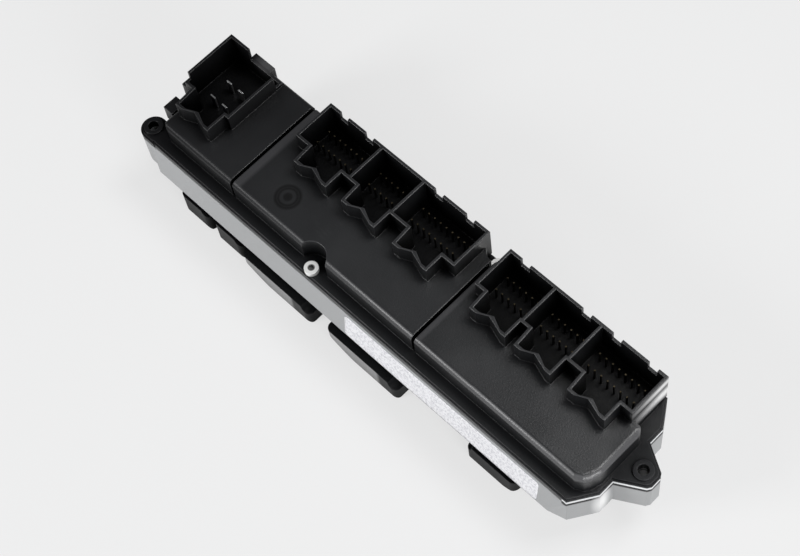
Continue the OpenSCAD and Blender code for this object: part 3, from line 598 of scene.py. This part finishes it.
# %% [markdown]
# ## The parting line and a mould mark
# At the right end the housing's lip shows as a thin light line under the cover, with a dark gap
# below it. The light line is painted on the cover's lowest edge, much paler than the housing's
# grey, so it is a painted lip with a painted highlight, and the dark line is painted shade of the
# gap, laid on the housing's wall. Strips of mesh could make them, but the lines are thinner than a
# millimetre and flush with the wall. So a band of colour, kept to the right end, gives each. The
# middle block carries the faint round print of a mould insert, which is left blank.

# %% Paint the parting line's highlight and shade, and the mould mark
RIGHT_END_X = 0.1092
LIP_Z, GAP_Z, BLOCK_TOP_Z = 0.0377, 0.0356, 0.0508
PRINT_PLACE, PRINT_RADIUS = (-0.0530, -0.0115, BLOCK_TOP_Z), 0.0062

# painted highlight: the lip's light line on the cover's lowest edge
recolour(black, banded(black, LIP_Z, 0.0007, 0.0010, RIGHT_END_X), (0.66, 0.67, 0.68), 1.0)
# painted shade: the parting gap's dark line on the housing's wall
recolour(grey, banded(grey, GAP_Z, 0.0006, 0.0009, RIGHT_END_X), (0.012, 0.012, 0.013), 1.0)
print_mark = put(node(black.node_tree, "ShaderNodeGroup", (-700, 900), node_tree=PRINT),
                 Centre=PRINT_PLACE, Radius=PRINT_RADIUS)
recolour(black, print_mark.outputs["Mask"], (0.001, 0.001, 0.001), 0.85)
dull(black, print_mark.outputs["Mask"], 0.28)
print("bands and print at the right end from X", RIGHT_END_X)

# %% [markdown]
# ## Painted highlights and shade on the cover
# The blocks' rounded edges get a painted highlight that grows towards the right, and their sheen
# is lowered towards the left. The left end shines less and gets painted shade that darkens it. The
# edges are found by their height and their slope, because a fillet is neither flat nor upright.
# The last socket's outer wall has two painted reflections, pale streaks that grow towards its far
# end, and each is a band with soft borders. Each streak's entry gives its height, half widths and
# strength.

# %% Paint highlights and shade on the cover
FILLET_HALF, FILLET_BORDER = 0.0012, 0.0016
EVERYWHERE = -1.0
NOT_UPRIGHT, NOT_FLAT = (0.10, 0.35), (0.985, 0.90)
WALL_X, WALL_FADE = 0.1100, 0.0002
PAINTED_REFLECTIONS = ((0.0560, 0.0006, 0.0030, 0.9), (0.0475, 0.0012, 0.0050, 1.0))

on_fillet = times(
    black, banded(black, BLOCK_TOP_Z - FILLET_HALF, FILLET_HALF, FILLET_BORDER, EVERYWHERE),
    ramped(black, "Normal", "Z", *NOT_UPRIGHT), ramped(black, "Normal", "Z", *NOT_FLAT))
# painted highlight on the fillets, brighter towards the right
recolour(black, times(black, on_fillet, ramped(black, "Object", "X", -0.10, 0.09)),
         (0.075, 0.075, 0.078), 0.8)
dull(black, times(black, on_fillet, ramped(black, "Object", "X", 0.08, -0.04)), 0.65)
# painted shade: the left end darker
recolour(black, ramped(black, "Object", "X", -0.03, -0.13), (0.004, 0.004, 0.0045), 0.8)
last_wall = times(black, ramped(black, "Object", "Y", 0.006, 0.024),
                  ramped(black, "Object", "X", WALL_X, WALL_X + WALL_FADE))
# painted reflections: two pale streaks on the last socket's outer wall
for height, core, border, strength in PAINTED_REFLECTIONS:
    recolour(black, times(black, banded(black, height, core, border, WALL_X), last_wall),
             (0.65, 0.65, 0.65), strength)
print("worn fillets below", BLOCK_TOP_Z * 1000, "mm and", len(PAINTED_REFLECTIONS), "streaks")

# %% [markdown]
# ## Painted highlights on the lug and beside the grooves, and a duller ear
# The lug behind the large socket gets a painted highlight, and the right ear shines less. Just
# right of each groove the block's top gets a painted highlight, a strip a shade lighter. The lamps
# alone don't give these shades, because they light all of the top alike. So each is a mask at its
# own place. Each groove's entry gives the X of its right edge and the strip's width.

# %% Paint highlights on the lug and beside the grooves, and dull the ear
LUG_PLACE = (-0.1045, 0.0262, 0.0520)
RIGHT_EAR = (0.1242, 0.0, 0.0400)
GROOVE_EDGES = ((-0.07445, 0.0044), (0.02825, 0.0028))
STRIP_FADE = 0.0004

# painted highlight on the lug
recolour(black, spotted(black, LUG_PLACE, 0.002, 0.007), (0.045, 0.045, 0.047), 0.9)
dull(black, spotted(black, RIGHT_EAR, 0.010, 0.016, upright=0.5), 0.55)
for left, wide in GROOVE_EDGES:
    groove_highlight = times(black, ramped(black, "Object", "X", left, left + STRIP_FADE),
                   ramped(black, "Object", "X", left + wide, left + wide * 0.6),
                   ramped(black, "Object", "Z", 0.0500, 0.0504),
                   ramped(black, "Object", "Z", 0.0516, 0.0512))
    # painted highlight beside the groove
    recolour(black, groove_highlight, (0.030, 0.030, 0.032), 0.8)
print("strips beside", len(GROOVE_EDGES), "grooves")

# %% [markdown]
# ## Light in the housing's corner, and shade in the screws' sockets
# Where the chamfer meets the right ear's tower the wall turns, and the photograph shows it nearly
# white. A lamp aimed there would also light its neighbours, so a soft spot of colour does it. The
# socket in each cover screw's head lies in shade, and a column of dark colour at the screw's axis
# paints that shade.

# %% Lighten the corner, paint shade in the screws' sockets
CORNER_PLACE = (0.1178, -0.0160, 0.0290)
COVER_SCREWS = ((-0.0273, -0.0249), (0.0266, 0.0254))
DRIVE_RADIUS, DRIVE_FADE = 0.00135, 0.0003

recolour(grey, spotted(grey, CORNER_PLACE, 0.0012, 0.0050, upright=0.35), (0.75, 0.75, 0.75), 0.9)
for x, y in COVER_SCREWS:
    # painted shade in each screw's drive socket
    drive_shade = spotted(steel, (x, y, 0), DRIVE_RADIUS, DRIVE_RADIUS + DRIVE_FADE, upright=0.0)
    recolour(steel, drive_shade, (0.17, 0.17, 0.165), 1.0)
print("spots set on", len(COVER_SCREWS), "screws and one corner")

# %% [markdown]
# ## Satin trim on the window levers
# The outer side of each window lever is a pale satin trim, and the rest is black. The trim could
# be a part of its own, but it's flush with the lever. So the mask is the sideways part of the
# surface's direction, and it ends a little before the lever's right end. All levers share one
# material, so the X of the nearest lever's middle is worked out first.

# %% Trim the levers
LEVER_LEFT_X, LEVER_RIGHT_X = -0.0476, 0.0028
TRIM_TO, TRIM_FADE = 0.0092, 0.002
SIDE_RANGE = (0.35, 0.75)

lever_tree = lever.node_tree
lever_place = node(lever_tree, "ShaderNodeTexCoord", (-1300, 800))
facing = node(lever_tree, "ShaderNodeSeparateXYZ", (-1100, 900))
spot = node(lever_tree, "ShaderNodeSeparateXYZ", (-1100, 700))
sideways = node(lever_tree, "ShaderNodeMath", (-900, 900), operation="ABSOLUTE")
outer = put(node(lever_tree, "ShaderNodeMapRange", (-700, 900)), From_Min=SIDE_RANGE[0],
            From_Max=SIDE_RANGE[1])
second = node(lever_tree, "ShaderNodeMath", (-900, 700), operation="GREATER_THAN")
second.inputs[1].default_value = (LEVER_LEFT_X + LEVER_RIGHT_X) / 2
middle_x = node(lever_tree, "ShaderNodeMath", (-700, 700), operation="MULTIPLY_ADD")
middle_x.inputs[1].default_value = LEVER_RIGHT_X - LEVER_LEFT_X
middle_x.inputs[2].default_value = LEVER_LEFT_X
along_x = node(lever_tree, "ShaderNodeMath", (-500, 700), operation="SUBTRACT")
before_end = put(node(lever_tree, "ShaderNodeMapRange", (-300, 700)), From_Min=TRIM_TO,
                 From_Max=TRIM_TO + TRIM_FADE, To_Min=1.0, To_Max=0.0)
trim = node(lever_tree, "ShaderNodeMath", (-100, 800), operation="MULTIPLY")
join(lever_tree, (lever_place.outputs["Normal"], facing.inputs[0]),
     (lever_place.outputs["Object"], spot.inputs[0]),
     (facing.outputs["Y"], sideways.inputs[0]),
     (sideways.outputs[0], outer.inputs["Value"]),
     (spot.outputs["X"], second.inputs[0]),
     (second.outputs[0], middle_x.inputs[0]),
     (spot.outputs["X"], along_x.inputs[0]),
     (middle_x.outputs[0], along_x.inputs[1]),
     (along_x.outputs[0], before_end.inputs["Value"]),
     (outer.outputs["Result"], trim.inputs[0]),
     (before_end.outputs["Result"], trim.inputs[1]))
recolour(lever, trim.outputs[0], (0.26, 0.26, 0.262), 1.0)
print("levers trimmed up to", TRIM_TO * 1000, "mm past their middles")

# %% [markdown]
# ## Clear plastic
# The light pipe carries light from the lamps to the face. Glass would do for it, but a moulded
# pipe is a little cloudy. So the Principled shader gets most of its transmission, some roughness
# and a plastic's refraction.

# %% Make the clear plastic
PLASTIC_IOR = 1.49
clear, clear_tree, clear_shader = new_material("clear_pipe")
put(clear_shader, Base_Color=(0.93, 0.95, 0.96, 1), Roughness=0.12, Transmission_Weight=0.85,
    IOR=PLASTIC_IOR)
clear_surface = put(node(clear_tree, "ShaderNodeGroup", (-500, 0), node_tree=SURFACE),
                    Grain_depth=0.04)
clear_tree.links.new(clear_surface.outputs["Normal"], clear_shader.inputs["Normal"])
print("clear plastic's index of refraction", PLASTIC_IOR)

# %% [markdown]
# ## Dressing the parts
# The CAD model's record names a material slot for each part. The finishes could be set part by
# part, but by slot the seven groups of terminals, for example, need only two lines.

# %% Give each part its finish
BY_SLOT = {
    "black_case": black, "grey_case": grey, "inner_frame": inner, "circuit_board": board,
    "dome_rubber": mat, "contact_carbon": carbon, "clear_plastic": clear, "chip_plastic": chip,
    "lamp_plastic": lamp_resin, "bright_steel": steel, "tinned_terminal": tin,
    "brass_terminal": brass, "lever_plastic": lever, "toggle_plastic": toggle}
SLOTS = {part["node"]: part["material_slot"] for part in frame["record"]["subparts"]}
for name, part in nodes.items():
    part.data.materials.clear()
    part.data.materials.append(BY_SLOT[SLOTS[name]])
print("dressed", len(nodes), "nodes in", len(BY_SLOT), "finishes")

# %% [markdown]
# ## The floor's finish
# The table is nearly white and its shadows are faint. Stronger lamps would bleach it, but the
# bank too. So the table also shines a little by itself, but only to the camera and in
# reflections, which adds no light to the bank's matt parts. From below the table is clear, so
# that the levers and the face can be looked at too.

# %% Finish the floor
GLOW_SHARE = 0.74
floor_look, floor_tree, floor_shader = new_material("floor_pale")
put(floor_shader, Base_Color=(0.55, 0.555, 0.56, 1), Roughness=0.6)
floor_shader.inputs["Specular IOR Level"].default_value = 0.2
glow = node(floor_tree, "ShaderNodeEmission", (0, -300))
put(glow, Color=(0.87, 0.87, 0.87, 1), Strength=1.0)
seen = node(floor_tree, "ShaderNodeLightPath", (-200, 300))
part_glow = node(floor_tree, "ShaderNodeMath", (0, 300), operation="MULTIPLY")
part_glow.inputs[1].default_value = GLOW_SHARE
floor_mix = node(floor_tree, "ShaderNodeMixShader", (300, 0))
either = node(floor_tree, "ShaderNodeMath", (-100, 450), operation="MAXIMUM")
from_below = node(floor_tree, "ShaderNodeNewGeometry", (100, 500))
clear_below = node(floor_tree, "ShaderNodeBsdfTransparent", (300, -200))
one_sided = node(floor_tree, "ShaderNodeMixShader", (500, 0))
join(floor_tree, (seen.outputs["Is Camera Ray"], either.inputs[0]),
     (seen.outputs["Is Glossy Ray"], either.inputs[1]),
     (either.outputs[0], part_glow.inputs[0]),
     (part_glow.outputs[0], floor_mix.inputs[0]),
     (floor_shader.outputs[0], floor_mix.inputs[1]),
     (glow.outputs[0], floor_mix.inputs[2]),
     (from_below.outputs["Backfacing"], one_sided.inputs[0]),
     (floor_mix.outputs[0], one_sided.inputs[1]),
     (clear_below.outputs[0], one_sided.inputs[2]),
     (one_sided.outputs[0], floor_tree.nodes["Material Output"].inputs["Surface"]))
floor.data.materials.append(floor_look)
print("floor glow share", GLOW_SHARE)

# %% [markdown]
# ## The paper label
# A paper label is stuck to the wall that faces the camera. It could be a patch of colour, but its
# edge is a step that catches light. So it is a sheet of its own, with a little thickness. The
# wall leans outwards, so the label's points are worked out on the wall's own plane and lifted a
# tenth of a millimetre. The paper has a slight wave, and its printed side is left blank.

# %% Make the label's sheet
MM = 0.001
WALL_TOP = (-28.2, 35.8)
WALL_FOOT = (-30.4, 20.0)


def wall_y(z):
    """Y of the near wall's face at height z, in mm."""
    share = (WALL_TOP[1] - z) / (WALL_TOP[1] - WALL_FOOT[1])
    return WALL_TOP[0] + share * (WALL_FOOT[0] - WALL_TOP[0])


def sheet_on_wall(name, x0, x1, z0, z1, lift, wave, columns=96, rows=12, corner=1.2):
    """A thin sheet with cut corners that lies on the near wall. All sizes are in mm."""
    points = []
    for j in range(rows + 1):
        z = z0 + (z1 - z0) * j / rows
        edge = min(z - z0, z1 - z)
        inset = max(0.0, corner - edge)
        for i in range(columns + 1):
            x = x0 + inset + (x1 - x0 - 2 * inset) * i / columns
            ripple = wave * math.sin(x * 0.21 + 0.6) * math.sin(z * 0.5 + x * 0.05)
            points.append((x * MM, (wall_y(z) - lift - abs(ripple)) * MM, z * MM))
    faces = []
    for j in range(rows):
        for i in range(columns):
            a = j * (columns + 1) + i
            faces.append((a, a + 1, a + columns + 2, a + columns + 1))
    mesh = bpy.data.meshes.new(name)
    mesh.from_pydata(points, [], faces)
    mesh.polygons.foreach_set("use_smooth", [True] * len(faces))
    piece = bpy.data.objects.new(name, mesh)
    bpy.context.scene.collection.objects.link(piece)
    return piece


LABEL_X, LABEL_Z = (-6.0, 98.0), (20.7, 34.2)
PAPER_THICKNESS, LIFT, WAVE = 0.1, 0.12, 0.05
label = sheet_on_wall("label", *LABEL_X, *LABEL_Z, LIFT, WAVE)
thickness = label.modifiers.new("thickness", "SOLIDIFY")
thickness.thickness = PAPER_THICKNESS * MM
thickness.offset = 0
print("label", [round(v * 1000, 1) for v in label.dimensions], "mm")

# %% [markdown]
# ## The label's paper
# The paper is white with fine grey speckles, and its fibres give it a slight texture. Both come
# from noise, so no picture of paper is needed. Then the label gets the paper and is told to ride
# on the case.

# %% Make the paper and attach the label
paper, paper_tree, paper_shader = new_material("label_paper")
paper_place = node(paper_tree, "ShaderNodeTexCoord", (-900, 0))
fibres = put(node(paper_tree, "ShaderNodeTexNoise", (-700, 0)), Scale=700.0, Detail=4.0)
stains = put(node(paper_tree, "ShaderNodeTexNoise", (-900, -250)), Scale=1000.0, Detail=3.0)
speckles = put(node(paper_tree, "ShaderNodeMapRange", (-650, -250)), From_Min=0.38, From_Max=0.55)
paper_tone = node(paper_tree, "ShaderNodeMix", (-400, 0), data_type="RGBA")
paper_tone.inputs[6].default_value = (0.50, 0.50, 0.53, 1)
paper_tone.inputs[7].default_value = (0.71, 0.71, 0.73, 1)
paper_bump = put(node(paper_tree, "ShaderNodeBump", (-400, -300)), Strength=0.15,
                 Distance=0.0002)
join(paper_tree, (paper_place.outputs["Object"], fibres.inputs["Vector"]),
     (paper_place.outputs["Object"], stains.inputs["Vector"]),
     (stains.outputs["Fac"], speckles.inputs["Value"]),
     (speckles.outputs["Result"], paper_tone.inputs[0]),
     (paper_tone.outputs[2], paper_shader.inputs["Base Color"]),
     (fibres.outputs["Fac"], paper_bump.inputs["Height"]),
     (paper_bump.outputs["Normal"], paper_shader.inputs["Normal"]))
put(paper_shader, Roughness=0.5)
label.data.materials.append(paper)
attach(label, "case")
print("label rides on the case")
